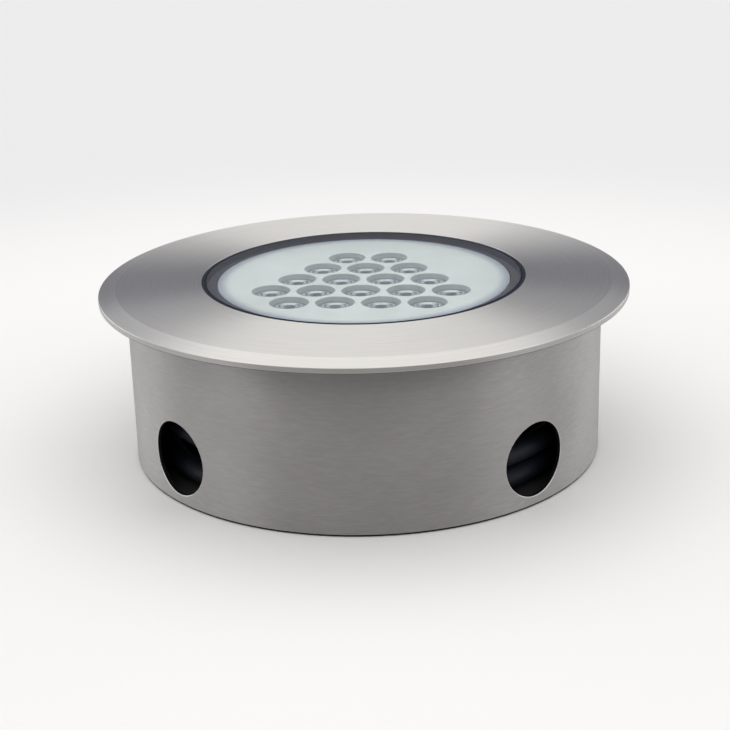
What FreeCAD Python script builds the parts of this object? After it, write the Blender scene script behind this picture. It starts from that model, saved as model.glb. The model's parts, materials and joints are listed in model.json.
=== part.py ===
import FreeCAD, Part
import math
import os

# Recessed pool light: a lamp with a turned face ring, held by leaf springs in a mounting sleeve.
# Millimetres, +Z up. The origin is the centre of the sleeve's foot.
# The cable holes lie on the X and Y axes.

V = FreeCAD.Vector
ORIGIN = V(0, 0, 0)
UP = V(0, 0, 1)
HEX_SIDES = 6
QUARTER_TURN = 90

# Clearances and edges shared by many pieces
FIT = 0.1                  # pieces nested in one another
SLIDE_FIT = 0.3            # lamp pieces that pass the sleeve
EDGE_BREAK = 0.2           # chamfer on turned edges

# Lens pattern, seen from above
LENS_ROWS = (2, 3, 4, 5, 4)    # lenses in each row, from the back row
LENS_PITCH = 15.1
PATTERN_SHIFT = 1.25           # pattern's offset towards its front
PATTERN_TURN = 45.0            # the rows' direction, in degrees from +X

# Lenses and the white plate round them
LENS_DIAMETER = 12.8
LENS_HEIGHT = 8.0
LENS_RIM = 1.6                 # height of the straight rim
LENS_FOOT_RADIUS = 3.9
LENS_CAVITY_RADIUS = 2.9
LENS_CAVITY_WALL = 2.2         # height of the cavity's straight wall
LENS_CAVITY_TOP = 3.0
LENS_BOWL_RADIUS = 4.8
LENS_BOWL_FLOOR = 2.4          # radius of the bowl's flat floor
LENS_BOWL_DEPTH = 2.4
LENS_HOLE_GAP = 0.15           # round each lens in its hole
LENS_RECESS = 1.6              # lens top below the plate's face
PLATE_THICKNESS = 2.0
PLATE_BORDER = 7.75            # from the outermost hole to the plate's edge
PLATE_GAP = 0.35               # round the plate in the ledge
PLATE_AIR = 0.2                # between the plate and the glass
LEG_RADIUS = 2.0
LEG_COUNT = 6

# Light emitters and their board
EMITTER_RADIUS = 2.2
EMITTER_BASE = 0.8
EMITTER_DOME = 1.5
LED_BOARD_THICKNESS = 1.6
LED_BOARD_BORDER = 8.0         # from the outermost lens centre to the board's edge
LEG_GAP = 0.75                 # between the board's edge and the plate's legs

# Heat spreader
SPREADER_THICKNESS = 3.0
SPREADER_SCREW_COUNT = 3
WIRE_HOLE_RADIUS = 3.6

# Glass and its seal
GLASS_THICKNESS = 5.0
GLASS_RECESS = 0.13            # glass below the face ring's inner edge
GLASS_ARRIS = 0.4
SEAL_THICKNESS = 1.0           # seal under the glass
SEAL_LIP = 1.0                 # seal round the glass
SEAL_LIP_RECESS = 0.25         # lip below the face ring's inner edge

# Face ring
LEDGE_WIDTH = 5.0
LEDGE_THICKNESS = 3.2
HUB_WALL = 10.8
CROWN_DROP = 0.5
BEVEL_DROP = 1.28
BEVEL_WIDTH = 6.0
RIM_THICKNESS = 1.95
FLANGE_OVERHANG = 9.2          # past the sleeve
REGISTER_DEPTH = 0.5           # groove that seats on the sleeve's edge

# Sleeve and the plate in its foot
SPRING_SPACE = 13.3            # between the hub and the sleeve
SLEEVE_WALL = 1.5
SEAT_CHAMFER = 0.6             # round the sleeve's upper edge
CABLE_HOLE_DIAMETER = 24.8
CABLE_HOLE_HEIGHT = 16.0
CABLE_HOLE_COUNT = 4
BASE_THICKNESS = 1.5
BASE_BORE_RADIUS = 6.0         # drain in the plate's middle
ANCHOR_CIRCLE_RADIUS = 58.0
ANCHOR_HOLE_RADIUS = 2.75
ANCHOR_COUNT = 4

# Lamp can
CAN_MARGIN = 1.65              # round the plate's edge
CAN_WALL = 2.0
CAN_FLOOR = 2.5
CAN_RIM = 3.5
SHOULDER_WIDTH = 6.5
SHOULDER_THICKNESS = 4.0
GROOVE_OFFSET = 1.2            # from the can's wall to its seal groove
GROOVE_WIDTH = 3.0
GROOVE_DEPTH = 1.8
RIM_SCREW_EDGE = 4.5           # from the rim's edge to the screws

# Leaf springs
SPRING_COUNT = 3
SPRING_WIDTH = 12.0
SPRING_THICKNESS = 0.8
SPRING_FOOT = 10.0
SPRING_BEND = 1.8
SPRING_DROP = 6.5              # from the foot to the pad
SPRING_PAD = 4.0
SPRING_TIP_DROP = 3.5
SPRING_TIP_INSET = 3.5

# Screws: shank radius, head radius, head height and socket width
M3 = (1.5, 2.75, 2.2, 2.0)
M4 = (2.0, 3.5, 4.0, 3.0)
SCREW_PLAY = 0.25              # round a shank in a clearance hole
SCREW_BITE_M3 = 2.4
SCREW_BITE_M4 = 4.0
TAP_SPARE = 0.4                # tapped hole past the screw's end

# Driver board
STANDOFF_HEIGHT = 6.0
STANDOFF_RADIUS = 3.0
STANDOFF_EDGE = 6.5            # from the board's edge to the standoffs
STANDOFF_COUNT = 3
DRIVER_BOARD_THICKNESS = 1.6
DRIVER_BOARD_GAP = 1.5
COMPONENT_HEIGHT = 4.2
COMPONENT_AIR = 0.5
INDUCTOR_SIZE = 12.0
INDUCTOR_CORE_RADIUS = 4.5
INDUCTOR_CIRCLE_RADIUS = 22.0
INDUCTOR_ANGLE = 40.0
CAPACITOR_RADIUS = 4.0
CAPACITOR_CIRCLE_RADIUS = 24.0
CAPACITOR_ANGLES = (84.0, 111.0, 138.0)
CHIP_LENGTH = 6.5
CHIP_WIDTH = 5.0
CHIP_HEIGHT = 1.6
CHIP_CIRCLE_RADIUS = 24.0
CHIP_ANGLES = (-18.0, -50.0, -82.0, -114.0)

# Wires inside the can
WIRE_RADIUS = 0.75
WIRE_SPREAD = 1.3              # wires' offset from the middle of their bundle, each way
WIRE_STUB = 0.8                # wire past a board's face

# Cable gland
GLAND_GROUND = 2.5             # gland nut above the sleeve's foot
GLAND_HEADROOM = 1.55          # between the gland nut and the can
GLAND_OFFSET = 26.0            # outlet's line from the centre
GLAND_SETBACK = 18.0           # stem's distance behind the centre, along the outlet
GLAND_BODY_RADIUS = 9.0
GLAND_BODY_LENGTH = 14.0
GLAND_THREAD_RADIUS = 8.0
GLAND_BORE_RADIUS = 4.4
GLAND_COLLAR_FLATS = 20.0
GLAND_COLLAR_HEIGHT = 3.0
GLAND_NOSE_LENGTH = 10.0
GLAND_MOUTH_RADIUS = 6.5
GLAND_MOUTH_DEPTH = 6.0
LOCKNUT_HEIGHT = 4.0
STEM_SPARE = 1.0               # thread past the lock nut
WASHER_THICKNESS = 1.0
WASHER_RADIUS = 10.0
GLAND_NUT_FLATS = 19.0
GLAND_NUT_START = 0.4          # nut's clearance to the elbow's shoulder
GLAND_NUT_HEX = 8.6
GLAND_NUT_BARREL = 4.0
GLAND_NUT_CONE = 3.0
GLAND_NUT_WALL = 3.4
GLAND_NUT_MOUTH = 6.5          # outer radius at the outlet

# Cable: out of the gland, down in one bend, then round inside the sleeve, a level up at each climb
CABLE_DIAMETER = 7.4
CABLE_PLAY = 0.3               # round the cable in the gland nut
COIL_RADIUS = 70.0
COIL_TURNS = 1.85
COIL_START = -20.0             # where the turns begin, in degrees from +X
COIL_GROUND = 0.4              # lowest turn's ties above the base plate
CLIMB_START = 285.0            # degrees along the turns, climb over the cable's beginning
CLIMB_END = 350.0
LIFT_START = 550.0             # degrees along the turns, lift of the free end
LIFT_END = 640.0
LIFT_RISE = 5.3
TURN_GAP = 0.7
LEAD_BEND = 42.0               # radius of the bend from the gland to the turns
LEAD_LEVEL = 45.0              # last degrees of the bend, already level
CORE_RADIUS = 0.95
CORE_SPREAD = 1.3
CORE_LENGTH = 13.0
CORE_TIP_RADIUS = 0.45
CORE_TIP_LENGTH = 6.0
TIE_ANGLES = (40.0, 160.0)     # in degrees from +X
TIE_WIDTH = 2.6
TIE_THICKNESS = 1.0
TIE_GAP = 0.2
TIE_HEAD = 4.0


def lens_rows():
    """Centres of the lenses, row by row from the back."""
    turn = math.radians(PATTERN_TURN)
    across = V(math.cos(turn), math.sin(turn), 0)
    back = V(-math.sin(turn), math.cos(turn), 0)
    row_spacing = LENS_PITCH * math.sqrt(3) / 2
    middle = (len(LENS_ROWS) - 1) / 2
    rows = []
    for k, count in enumerate(LENS_ROWS):
        depth = (middle - k) * row_spacing - PATTERN_SHIFT
        sides = [(j - (count - 1) / 2) * LENS_PITCH for j in range(count)]
        rows.append([across * side + back * depth for side in sides])
    return rows


def mean_point(points):
    """The point between some lenses."""
    total = V(0, 0, 0)
    for point in points:
        total = total + point
    return total / len(points)


# Places in the lens pattern
ROWS = lens_rows()
CENTRES = [centre for row in ROWS for centre in row]
PATTERN_RADIUS = max(centre.Length for centre in CENTRES)
LED_SCREW_PLACES = (
    mean_point((ROWS[0][0], ROWS[0][1], ROWS[1][1])),
    mean_point((ROWS[3][0], ROWS[3][1], ROWS[4][0])),
    mean_point((ROWS[3][3], ROWS[3][4], ROWS[4][3])),
)
LED_WIRE_PLACE = mean_point((ROWS[2][1], ROWS[2][2], ROWS[3][2]))

# Heights, from the foot up
CABLE_RADIUS = CABLE_DIAMETER / 2
GLAND_NUT_RADIUS = GLAND_NUT_FLATS / math.sqrt(3)
GLAND_Z = GLAND_GROUND + GLAND_NUT_RADIUS
FLOOR_LOW = GLAND_Z + GLAND_NUT_RADIUS + GLAND_HEADROOM
FLOOR_TOP = FLOOR_LOW + CAN_FLOOR
DRIVER_LOW = FLOOR_TOP + STANDOFF_HEIGHT
DRIVER_TOP = DRIVER_LOW + DRIVER_BOARD_THICKNESS
SPREADER_LOW = DRIVER_TOP + COMPONENT_HEIGHT + COMPONENT_AIR
SPREADER_TOP = SPREADER_LOW + SPREADER_THICKNESS
LED_TOP = SPREADER_TOP + LED_BOARD_THICKNESS
LENS_TOP = LED_TOP + LENS_HEIGHT
PLATE_TOP = LENS_TOP + LENS_RECESS
GLASS_LOW = PLATE_TOP + PLATE_AIR
GLASS_TOP = GLASS_LOW + GLASS_THICKNESS
FACE_TOP = GLASS_TOP + GLASS_RECESS
BEVEL_TOP = FACE_TOP - CROWN_DROP
RIM_TOP = BEVEL_TOP - BEVEL_DROP
FLANGE_LOW = RIM_TOP - RIM_THICKNESS
SLEEVE_TOP = FLANGE_LOW + REGISTER_DEPTH
LEDGE_TOP = GLASS_LOW - SEAL_THICKNESS
HUB_LOW = LEDGE_TOP - LEDGE_THICKNESS
CAN_RIM_LOW = HUB_LOW - CAN_RIM

# Radii, from the middle out
LENS_RADIUS = LENS_DIAMETER / 2
LENS_HOLE_RADIUS = LENS_RADIUS + LENS_HOLE_GAP
PLATE_RADIUS = PATTERN_RADIUS + LENS_HOLE_RADIUS + PLATE_BORDER
LED_BOARD_RADIUS = PATTERN_RADIUS + LED_BOARD_BORDER
LEG_CIRCLE = LED_BOARD_RADIUS + LEG_GAP + LEG_RADIUS
LEDGE_RADIUS = PLATE_RADIUS + PLATE_GAP
POCKET_RADIUS = LEDGE_RADIUS + LEDGE_WIDTH
GLASS_RADIUS = POCKET_RADIUS - SEAL_LIP - 2 * FIT
HUB_RADIUS = POCKET_RADIUS + HUB_WALL
RIM_SCREW_CIRCLE = HUB_RADIUS - RIM_SCREW_EDGE
SLEEVE_IN = HUB_RADIUS + SPRING_SPACE
SLEEVE_OUT = SLEEVE_IN + SLEEVE_WALL
FLANGE_RADIUS = SLEEVE_OUT + FLANGE_OVERHANG
CAN_IN = PLATE_RADIUS + CAN_MARGIN
CAN_OUT = CAN_IN + CAN_WALL
CAN_LOW_IN = CAN_IN - SHOULDER_WIDTH
CAN_LOW_OUT = CAN_LOW_IN + CAN_WALL
SPREADER_SCREW_CIRCLE = (CAN_IN + CAN_LOW_IN) / 2
DRIVER_BOARD_RADIUS = CAN_LOW_IN - DRIVER_BOARD_GAP
STANDOFF_CIRCLE = DRIVER_BOARD_RADIUS - STANDOFF_EDGE

# The cable's plan: a bend that leaves the gland along +Y and meets the circle of the turns
BEND_CENTRE_X = GLAND_OFFSET - LEAD_BEND
BEND_CENTRE_Y = math.sqrt((COIL_RADIUS - LEAD_BEND) ** 2 - BEND_CENTRE_X ** 2)
JOIN_ANGLE = math.atan2(BEND_CENTRE_Y, BEND_CENTRE_X)
CABLE_TURN = COIL_START - math.degrees(JOIN_ANGLE)
COIL_Z = BASE_THICKNESS + COIL_GROUND + TIE_THICKNESS + TIE_GAP + CABLE_RADIUS
COIL_PITCH = CABLE_DIAMETER + TURN_GAP
GLAND_NUT_X = GLAND_BODY_LENGTH + GLAND_NUT_START
GLAND_REACH = GLAND_NUT_X + GLAND_NUT_HEX + GLAND_NUT_BARREL + GLAND_NUT_CONE


def polar(radius, degrees, z=0):
    """Point at a radius and an angle about the Z axis."""
    angle = math.radians(degrees)
    return V(radius * math.cos(angle), radius * math.sin(angle), z)


def spread(count, first=0):
    """Evenly spaced angles in degrees."""
    return [first + 360 * k / count for k in range(count)]


def turned(profile):
    """Solid of revolution about Z from a closed outline of radius and height."""
    points = [V(radius, 0, z) for radius, z in profile]
    outline = Part.makePolygon(points + points[:1])
    return Part.Face(outline).revolve(ORIGIN, UP, 360)


def ring(outer, inner, low, high):
    """Plain ring about Z."""
    return turned([(inner, low), (outer, low), (outer, high), (inner, high)])


def rod(radius, low, high, at=ORIGIN):
    """Upright cylinder."""
    return Part.makeCylinder(radius, high - low, V(at.x, at.y, low))


def hexagon(flats, low, high):
    """Upright hexagonal prism about Z."""
    across_corners = flats / math.cos(math.pi / HEX_SIDES)
    angles = spread(HEX_SIDES, 180 / HEX_SIDES)
    corners = [polar(across_corners / 2, angle, low) for angle in angles]
    outline = Part.makePolygon(corners + corners[:1])
    return Part.Face(outline).extrude(V(0, 0, high - low))


def block(length, width, low, high, at=ORIGIN):
    """Upright box centred on a point."""
    corner = V(at.x - length / 2, at.y - width / 2, low)
    return Part.makeBox(length, width, high - low, corner)


def lying(shape):
    """Turns a piece built along +Z to lie along +X, at the gland's height."""
    shape.rotate(ORIGIN, V(0, 1, 0), 90)
    shape.translate(V(0, 0, GLAND_Z))
    return shape


def about_z(shape, degrees):
    """Turns a piece about the Z axis."""
    shape.rotate(ORIGIN, UP, degrees)
    return shape


def screw(at, seat, reach, size, points_up):
    """Socket head screw whose head bears on the height seat."""
    shank, head, head_height, socket = size
    body = rod(head, -head_height, 0).fuse(rod(shank, 0, reach)).removeSplitter()
    body = body.cut(hexagon(socket, -head_height, -head_height / 2))
    if not points_up:
        body.rotate(ORIGIN, V(1, 0, 0), 180)
    body.translate(V(at.x, at.y, seat))
    return body


def sleeve():
    """Tube with cable holes near its foot. Its seam stands between two of them."""
    tube = turned([
        (SLEEVE_IN, 0), (SLEEVE_OUT - EDGE_BREAK, 0), (SLEEVE_OUT, EDGE_BREAK),
        (SLEEVE_OUT, SLEEVE_TOP - SEAT_CHAMFER), (SLEEVE_OUT - SEAT_CHAMFER, SLEEVE_TOP),
        (SLEEVE_IN, SLEEVE_TOP),
    ])
    about_z(tube, 180 / CABLE_HOLE_COUNT)
    holes = []
    for angle in spread(CABLE_HOLE_COUNT):
        start = polar(SLEEVE_IN / 2, angle, CABLE_HOLE_HEIGHT)
        holes.append(Part.makeCylinder(CABLE_HOLE_DIAMETER / 2, SLEEVE_OUT, start, polar(1, angle)))
    return tube.cut(holes)


def base_plate():
    """Flat plate inside the sleeve's foot, with a drain and with anchor holes between the cable holes."""
    plate = rod(SLEEVE_IN - FIT, 0, BASE_THICKNESS)
    angles = spread(ANCHOR_COUNT, 180 / ANCHOR_COUNT)
    places = [polar(ANCHOR_CIRCLE_RADIUS, angle) for angle in angles]
    cuts = [rod(ANCHOR_HOLE_RADIUS, 0, BASE_THICKNESS, place) for place in places]
    cuts.append(rod(BASE_BORE_RADIUS, 0, BASE_THICKNESS))
    return plate.cut(cuts)


def spring_angles():
    """Where the leaf springs stand."""
    return spread(SPRING_COUNT, 90)


def clamp_angles():
    """Where the can's other screws stand, between the springs."""
    return spread(SPRING_COUNT, 90 + 180 / SPRING_COUNT)


def face_ring():
    """Turned ring: crown, bevel, rim, groove for the sleeve's edge, hub and the glass's ledge."""
    groove_out = SLEEVE_OUT + SLIDE_FIT
    groove_in = SLEEVE_IN - SLIDE_FIT
    body = turned([
        (POCKET_RADIUS, FACE_TOP), (FLANGE_RADIUS - BEVEL_WIDTH, BEVEL_TOP),
        (FLANGE_RADIUS - EDGE_BREAK, RIM_TOP), (FLANGE_RADIUS, RIM_TOP - EDGE_BREAK),
        (FLANGE_RADIUS, FLANGE_LOW + EDGE_BREAK), (FLANGE_RADIUS - EDGE_BREAK, FLANGE_LOW),
        (groove_out, FLANGE_LOW), (groove_out, SLEEVE_TOP), (groove_in, SLEEVE_TOP),
        (groove_in, FLANGE_LOW), (HUB_RADIUS, FLANGE_LOW), (HUB_RADIUS, HUB_LOW),
        (LEDGE_RADIUS, HUB_LOW), (LEDGE_RADIUS, LEDGE_TOP), (POCKET_RADIUS, LEDGE_TOP),
    ])
    places = [polar(RIM_SCREW_CIRCLE, angle) for angle in spring_angles() + clamp_angles()]
    depth = SCREW_BITE_M4 + TAP_SPARE
    return body.cut([rod(M4[0] + FIT, HUB_LOW, HUB_LOW + depth, place) for place in places])


def glass():
    """Disc with a small arris round its face."""
    return turned([
        (0, GLASS_LOW), (GLASS_RADIUS, GLASS_LOW), (GLASS_RADIUS, GLASS_TOP - GLASS_ARRIS),
        (GLASS_RADIUS - GLASS_ARRIS, GLASS_TOP), (0, GLASS_TOP),
    ])


def glass_seal():
    """Seal with a flat leg under the glass and a thin lip round it."""
    outer = POCKET_RADIUS - FIT
    lip_top = FACE_TOP - SEAL_LIP_RECESS
    return turned([
        (LEDGE_RADIUS, LEDGE_TOP), (outer, LEDGE_TOP), (outer, lip_top),
        (outer - SEAL_LIP, lip_top), (outer - SEAL_LIP, GLASS_LOW), (LEDGE_RADIUS, GLASS_LOW),
    ])


def lens_plate():
    """Plate with a hole for each lens, on legs that stand on the heat spreader."""
    low = PLATE_TOP - PLATE_THICKNESS
    plate = rod(PLATE_RADIUS, low, PLATE_TOP)
    plate = plate.cut([rod(LENS_HOLE_RADIUS, low, PLATE_TOP, centre) for centre in CENTRES])
    places = [polar(LEG_CIRCLE, angle) for angle in spread(LEG_COUNT)]
    return plate.fuse([rod(LEG_RADIUS, SPREADER_TOP, low, place) for place in places])


def lens(centre):
    """Moulded lens: foot round the emitter, flared side, straight rim and a bowl in its top."""
    body = turned([
        (0, LENS_CAVITY_TOP), (LENS_CAVITY_RADIUS, LENS_CAVITY_WALL), (LENS_CAVITY_RADIUS, 0),
        (LENS_FOOT_RADIUS, 0), (LENS_RADIUS, LENS_HEIGHT - LENS_RIM), (LENS_RADIUS, LENS_HEIGHT),
        (LENS_BOWL_RADIUS, LENS_HEIGHT), (LENS_BOWL_FLOOR, LENS_HEIGHT - LENS_BOWL_DEPTH),
        (0, LENS_HEIGHT - LENS_BOWL_DEPTH),
    ])
    body.translate(V(centre.x, centre.y, LED_TOP))
    return body


def emitter(centre):
    """Light emitter: round base with a dome."""
    base = rod(EMITTER_RADIUS, 0, EMITTER_BASE)
    dome = Part.makeSphere(EMITTER_DOME, V(0, 0, EMITTER_BASE), UP, 0, 90, 360)
    body = base.fuse(dome)
    body.translate(V(centre.x, centre.y, LED_TOP))
    return body


def wire_places(middle):
    """Four wires round the middle of a bundle."""
    both = (-WIRE_SPREAD, WIRE_SPREAD)
    return [middle + V(side, depth, 0) for side in both for depth in both]


def led_board():
    """Round board under the lenses."""
    board = rod(LED_BOARD_RADIUS, SPREADER_TOP, LED_TOP)
    cuts = [rod(M3[0] + SCREW_PLAY, SPREADER_TOP, LED_TOP, place) for place in LED_SCREW_PLACES]
    cuts += [rod(WIRE_RADIUS + FIT, SPREADER_TOP, LED_TOP, place) for place in wire_places(LED_WIRE_PLACE)]
    return board.cut(cuts)


def spreader_screw_places():
    """Screws that hold the heat spreader, between the plate's legs."""
    angles = spread(SPREADER_SCREW_COUNT, 180 / LEG_COUNT)
    return [polar(SPREADER_SCREW_CIRCLE, angle) for angle in angles]


def heat_spreader():
    """Metal disc on the can's shoulder, tapped for the board's screws."""
    disc = rod(CAN_IN - FIT, SPREADER_LOW, SPREADER_TOP)
    cuts = [rod(M3[0] + SCREW_PLAY, SPREADER_LOW, SPREADER_TOP, place) for place in spreader_screw_places()]
    cuts += [rod(M3[0] + FIT, SPREADER_LOW, SPREADER_TOP, place) for place in LED_SCREW_PLACES]
    cuts.append(rod(WIRE_HOLE_RADIUS, SPREADER_LOW, SPREADER_TOP, LED_WIRE_PLACE))
    return disc.cut(cuts)


def seal_groove_radii():
    """Inner and outer radius of the groove in the can's rim."""
    inner = CAN_OUT + GROOVE_OFFSET
    return inner, inner + GROOVE_WIDTH


def lamp_can():
    """Stepped can with a rim under the hub, a shoulder for the heat spreader and the gland's hole."""
    shoulder_low = SPREADER_LOW - SHOULDER_THICKNESS
    body = turned([
        (0, FLOOR_LOW), (CAN_LOW_OUT, FLOOR_LOW), (CAN_LOW_OUT, shoulder_low), (CAN_OUT, shoulder_low),
        (CAN_OUT, CAN_RIM_LOW), (HUB_RADIUS, CAN_RIM_LOW), (HUB_RADIUS, HUB_LOW), (CAN_IN, HUB_LOW),
        (CAN_IN, SPREADER_LOW), (CAN_LOW_IN, SPREADER_LOW), (CAN_LOW_IN, FLOOR_TOP), (0, FLOOR_TOP),
    ])
    groove_in, groove_out = seal_groove_radii()
    cuts = [ring(groove_out, groove_in, HUB_LOW - GROOVE_DEPTH, HUB_LOW)]
    for angle in spring_angles() + clamp_angles():
        cuts.append(rod(M4[0] + SCREW_PLAY, CAN_RIM_LOW, HUB_LOW, polar(RIM_SCREW_CIRCLE, angle)))
    tap_low = SPREADER_LOW - SCREW_BITE_M3 - TAP_SPARE
    cuts += [rod(M3[0] + FIT, tap_low, SPREADER_LOW, place) for place in spreader_screw_places()]
    cuts.append(rod(GLAND_THREAD_RADIUS + FIT, FLOOR_LOW, FLOOR_TOP, GLAND_AXIS))
    return body.cut(cuts)


def can_seal():
    """Ring seal pressed flat in the can's groove."""
    groove_in, groove_out = seal_groove_radii()
    return ring(groove_out - SLIDE_FIT, groove_in + SLIDE_FIT, HUB_LOW - GROOVE_DEPTH, HUB_LOW)


def strip_side(points, bend, shift):
    """Edges of a bent line in the XZ plane, moved sideways, with its bends rounded."""
    edges = []
    heading = (points[1] - points[0]).normalize()
    start = points[0] + V(-heading.z, 0, heading.x) * shift
    for before, corner, after in zip(points, points[1:], points[2:]):
        arriving = (corner - before).normalize()
        leaving = (after - corner).normalize()
        turn = math.atan2(arriving.x * leaving.z - arriving.z * leaving.x, arriving.dot(leaving))
        side = math.copysign(1, turn)
        length = bend * math.tan(abs(turn) / 2)
        left_in = V(-arriving.z, 0, arriving.x)
        left_out = V(-leaving.z, 0, leaving.x)
        centre = corner - arriving * length + left_in * (bend * side)
        first = corner - arriving * length + left_in * shift
        last = corner + leaving * length + left_out * shift
        middle = centre + (corner - centre).normalize() * (bend - side * shift)
        edges.append(Part.makeLine(start, first))
        edges.append(Part.Arc(first, middle, last).toShape())
        start = last
    heading = (points[-1] - points[-2]).normalize()
    edges.append(Part.makeLine(start, points[-1] + V(-heading.z, 0, heading.x) * shift))
    return edges


def strip_face(points, bend, thickness):
    """Bent strip of one thickness, as a face in the XZ plane."""
    left = strip_side(points, bend, thickness / 2)
    right = strip_side(points, bend, -thickness / 2)
    near = Part.makeLine(left[0].firstVertex().Point, right[0].firstVertex().Point)
    far = Part.makeLine(left[-1].lastVertex().Point, right[-1].lastVertex().Point)
    return Part.Face(Part.Wire(Part.__sortEdges__(left + [far] + right + [near])))


def spring(angle):
    """Leaf spring: foot under the can's rim, slope, pad along the sleeve and a tip turned in."""
    half = SPRING_WIDTH / 2
    pad = math.sqrt((SLEEVE_IN - SLIDE_FIT) ** 2 - half ** 2) - SPRING_THICKNESS / 2
    foot_z = CAN_RIM_LOW - SPRING_THICKNESS / 2
    pad_top = foot_z - SPRING_DROP
    pad_low = pad_top - SPRING_PAD
    strip = strip_face([
        V(HUB_RADIUS - SPRING_FOOT, 0, foot_z), V(HUB_RADIUS, 0, foot_z), V(pad, 0, pad_top),
        V(pad, 0, pad_low), V(pad - SPRING_TIP_INSET, 0, pad_low - SPRING_TIP_DROP),
    ], SPRING_BEND, SPRING_THICKNESS)
    strip.translate(V(0, -half, 0))
    leaf = strip.extrude(V(0, SPRING_WIDTH, 0))
    hole_low = CAN_RIM_LOW - SPRING_THICKNESS
    leaf = leaf.cut(rod(M4[0] + SCREW_PLAY, hole_low, CAN_RIM_LOW, V(RIM_SCREW_CIRCLE, 0, 0)))
    return about_z(leaf, angle)


def rim_screws(angles, washer):
    """Screws up through the can's rim into the hub, with a thickness held under their heads."""
    seat = CAN_RIM_LOW - washer
    reach = CAN_RIM + washer + SCREW_BITE_M4
    return [screw(polar(RIM_SCREW_CIRCLE, angle), seat, reach, M4, True) for angle in angles]


def standoff_places():
    """Standoffs under the driver board."""
    return [polar(STANDOFF_CIRCLE, angle) for angle in spread(STANDOFF_COUNT)]


def standoff(place):
    """Spacer with a tapped hole in its top."""
    tap_low = DRIVER_LOW - SCREW_BITE_M3 - TAP_SPARE
    post = rod(STANDOFF_RADIUS, FLOOR_TOP, DRIVER_LOW, place)
    return post.cut(rod(M3[0] + FIT, tap_low, DRIVER_LOW, place))


def driver_board():
    """Round board in the lower can."""
    board = rod(DRIVER_BOARD_RADIUS, DRIVER_LOW, DRIVER_TOP)
    cuts = [rod(M3[0] + SCREW_PLAY, DRIVER_LOW, DRIVER_TOP, place) for place in standoff_places()]
    wires = wire_places(GLAND_AXIS) + wire_places(LED_WIRE_PLACE)
    cuts += [rod(WIRE_RADIUS + FIT, DRIVER_LOW, DRIVER_TOP, place) for place in wires]
    return board.cut(cuts)


def driver_inductor():
    """Square inductor with a round core."""
    place = polar(INDUCTOR_CIRCLE_RADIUS, INDUCTOR_ANGLE)
    top = DRIVER_TOP + COMPONENT_HEIGHT
    body = block(INDUCTOR_SIZE, INDUCTOR_SIZE, DRIVER_TOP, top, place)
    corners = [edge for edge in body.Edges if abs(edge.tangentAt(edge.FirstParameter).z) > 0.5]
    body = body.makeChamfer(INDUCTOR_SIZE / 6, corners)
    return body.cut(rod(INDUCTOR_CORE_RADIUS, top - EDGE_BREAK, top, place))


def driver_capacitors():
    """Upright cans on the driver board."""
    top = DRIVER_TOP + COMPONENT_HEIGHT
    places = [polar(CAPACITOR_CIRCLE_RADIUS, angle) for angle in CAPACITOR_ANGLES]
    return [rod(CAPACITOR_RADIUS, DRIVER_TOP, top, place) for place in places]


def driver_chips():
    """Flat chips on the driver board."""
    top = DRIVER_TOP + CHIP_HEIGHT
    places = [polar(CHIP_CIRCLE_RADIUS, angle) for angle in CHIP_ANGLES]
    return [block(CHIP_LENGTH, CHIP_WIDTH, DRIVER_TOP, top, place) for place in places]


def supply_wires():
    """Cores of the cable, from the elbow up to the driver board."""
    low = GLAND_Z - GLAND_BORE_RADIUS / 2
    return [rod(WIRE_RADIUS, low, DRIVER_TOP + WIRE_STUB, place) for place in wire_places(GLAND_AXIS)]


def led_wires():
    """Wires from the driver board up to the light emitters' board."""
    low = DRIVER_LOW - WIRE_STUB
    return [rod(WIRE_RADIUS, low, LED_TOP + WIRE_STUB, place) for place in wire_places(LED_WIRE_PLACE)]


def in_cable_plan(shape):
    """Turns a piece from the cable's plan to its place."""
    return about_z(shape, CABLE_TURN)


def at_gland(shape):
    """Moves a gland piece, built with its stem on Z and its outlet along +X, under the can."""
    about_z(shape, CABLE_TURN + 90)
    shape.translate(GLAND_AXIS)
    return shape


def gland_axis():
    """Middle of the gland's stem."""
    return polar(1, CABLE_TURN) * GLAND_OFFSET - polar(1, CABLE_TURN + 90) * GLAND_SETBACK


GLAND_AXIS = gland_axis()


def gland_elbow():
    """Elbow: threaded stem through the can's floor, collar, round corner and threaded nose."""
    seat = FLOOR_LOW - WASHER_THICKNESS
    stem_top = FLOOR_TOP + LOCKNUT_HEIGHT + STEM_SPARE
    nose_end = GLAND_BODY_LENGTH + GLAND_NOSE_LENGTH
    corner = V(0, 0, GLAND_Z)
    body = Part.makeSphere(GLAND_BODY_RADIUS, corner).fuse([
        rod(GLAND_BODY_RADIUS, GLAND_Z, seat),
        hexagon(GLAND_COLLAR_FLATS, seat - GLAND_COLLAR_HEIGHT, seat),
        rod(GLAND_THREAD_RADIUS, GLAND_Z, stem_top),
        lying(rod(GLAND_BODY_RADIUS, 0, GLAND_BODY_LENGTH)),
        lying(rod(GLAND_THREAD_RADIUS, 0, nose_end)),
    ]).removeSplitter()
    body = body.cut([
        Part.makeSphere(GLAND_BORE_RADIUS, corner),
        rod(GLAND_BORE_RADIUS, GLAND_Z, stem_top),
        lying(rod(GLAND_BORE_RADIUS, 0, nose_end)),
        lying(rod(GLAND_MOUTH_RADIUS, nose_end - GLAND_MOUTH_DEPTH, nose_end)),
    ])
    return at_gland(body)


def gland_washer():
    """Sealing washer between the elbow's collar and the can."""
    return at_gland(ring(WASHER_RADIUS, GLAND_THREAD_RADIUS + FIT, FLOOR_LOW - WASHER_THICKNESS, FLOOR_LOW))


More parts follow.
